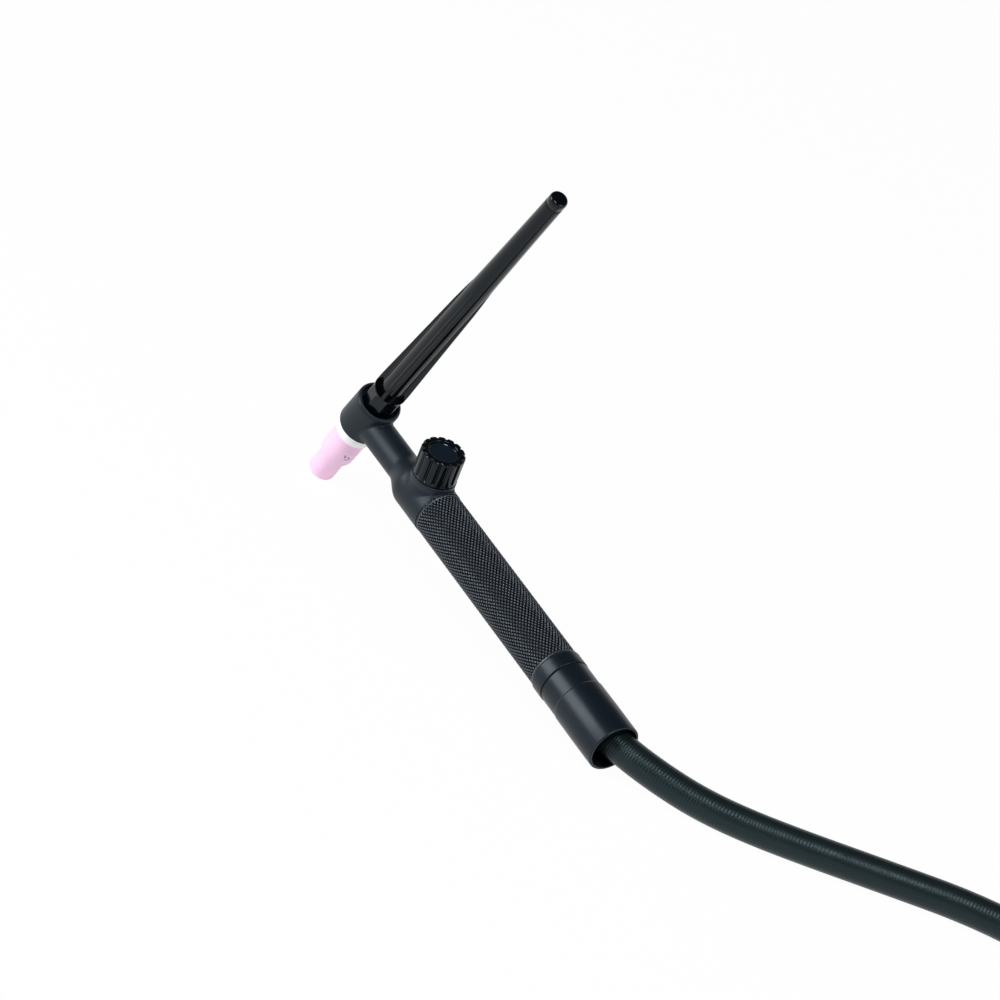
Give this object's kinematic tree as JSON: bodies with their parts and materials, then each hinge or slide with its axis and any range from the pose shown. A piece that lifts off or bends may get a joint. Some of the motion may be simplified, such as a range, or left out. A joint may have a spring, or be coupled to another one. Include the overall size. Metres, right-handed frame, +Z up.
{
  "type": "tig torch",
  "caption": "Air-cooled TIG welding torch with a gas valve knob, long back cap, ceramic nozzle, knurled grip and a power cable stored as a tied hank.",
  "frame": {"origin": "centre of the torch's footprint on the bench, without the loose cable", "axes": "+X from the nozzle to the open end of the rear sleeve, +Z up, torch standing on its nozzle rim and sleeve rim"},
  "size_m": [0.6093, 0.1107, 0.1651],
  "materials": {
    "body_moulding": "satin",
    "sleeve_moulding": "satin",
    "cap_gloss": "gloss",
    "brass": "machined",
    "copper": "machined",
    "ferrule": "crimped",
    "steel": "satin",
    "tungsten": "ground",
    "nozzle_ceramic": "fine matte",
    "white_ptfe": "smooth",
    "seal": "smooth",
    "cable_jacket": "satin",
    "relief_rubber": "matte",
    "strap": "woven"
  },
  "bodies": {
    "torch": {"torch_body": "body_moulding", "head_socket": "brass", "neck_tube": "copper", "valve_block": "brass", "gland_nut": "brass", "collet_body": "copper", "grip_sleeve": "sleeve_moulding", "grip_oring": "seal", "rear_sleeve": "sleeve_moulding", "hose_tail": "brass", "tail_nut": "brass", "cable_lead": "cable_jacket", "crimp_ferrule": "ferrule", "conductor": "copper", "power_cable": "cable_jacket", "cable_hank": "cable_jacket", "outer_strap": "strap", "inner_strap": "strap", "cable_tail": "cable_jacket", "strain_relief": "relief_rubber", "end_ferrule": "ferrule", "end_nipple": "brass"},
    "valve_lift": {"stem_oring": "seal"},
    "valve": {"valve_stem": "brass", "valve_knob": "cap_gloss", "knob_disc": "cap_gloss", "knob_screw": "steel"},
    "cap_lift": {"cap_oring": "seal"},
    "cap": {"back_cap": "cap_gloss", "cap_insert": "brass"},
    "collet": {"collet": "copper"},
    "electrode": {"electrode": "tungsten"},
    "shield": {"heat_shield": "white_ptfe"},
    "nozzle": {"nozzle": "nozzle_ceramic"},
    "cable_nut": {"union_nut": "brass"}
  },
  "joints": [
    {"name": "valve_travel", "type": "slide", "parent": "torch", "child": "valve_lift", "axis": [0.1498, 0, 0.9887], "range_m": [0, 0.0016]},
    {"name": "valve_turn", "type": "hinge", "parent": "valve_lift", "child": "valve", "pos_m": [-0.03129, 0, 0.02846], "axis": [0.1498, 0, 0.9887], "range_deg": [0, 720]},
    {"name": "cap_travel", "type": "slide", "parent": "torch", "child": "cap_lift", "axis": [0.479, 0, 0.8778], "range_m": [0, 0.004]},
    {"name": "cap_turn", "type": "hinge", "parent": "cap_lift", "child": "cap", "pos_m": [-0.06916, 0, 0.04342], "axis": [0.479, 0, 0.8778], "range_deg": [0, 1440]},
    {"name": "collet_release", "type": "slide", "parent": "torch", "child": "collet", "axis": [0.479, 0, 0.8778], "range_m": [0, 0.001]},
    {"name": "electrode_stickout", "type": "slide", "parent": "collet", "child": "electrode", "axis": [-0.479, 0, -0.8778], "range_m": [0, 0.008]},
    {"name": "nozzle_travel", "type": "slide", "parent": "torch", "child": "shield", "axis": [-0.479, 0, -0.8778], "range_m": [0, 0.006]},
    {"name": "nozzle_turn", "type": "hinge", "parent": "shield", "child": "nozzle", "pos_m": [-0.07812, 0, 0.027], "axis": [-0.479, 0, -0.8778], "range_deg": [0, 2160]},
    {"name": "cable_nut_spin", "type": "hinge", "parent": "torch", "child": "cable_nut", "pos_m": [0.45697, 0.09036, 0.04655], "axis": [0.9987, 0.0378, 0.0343], "continuous": true}
  ],
  "couplings": [
    {"joint": "valve_travel", "follows": "valve_turn", "m_per_rad": 0.00012732},
    {"joint": "cap_travel", "follows": "cap_turn", "m_per_rad": 0.00015915},
    {"joint": "collet_release", "follows": "cap_turn", "m_per_rad": 0.000039789},
    {"joint": "nozzle_travel", "follows": "nozzle_turn", "m_per_rad": 0.00015915}
  ]
}
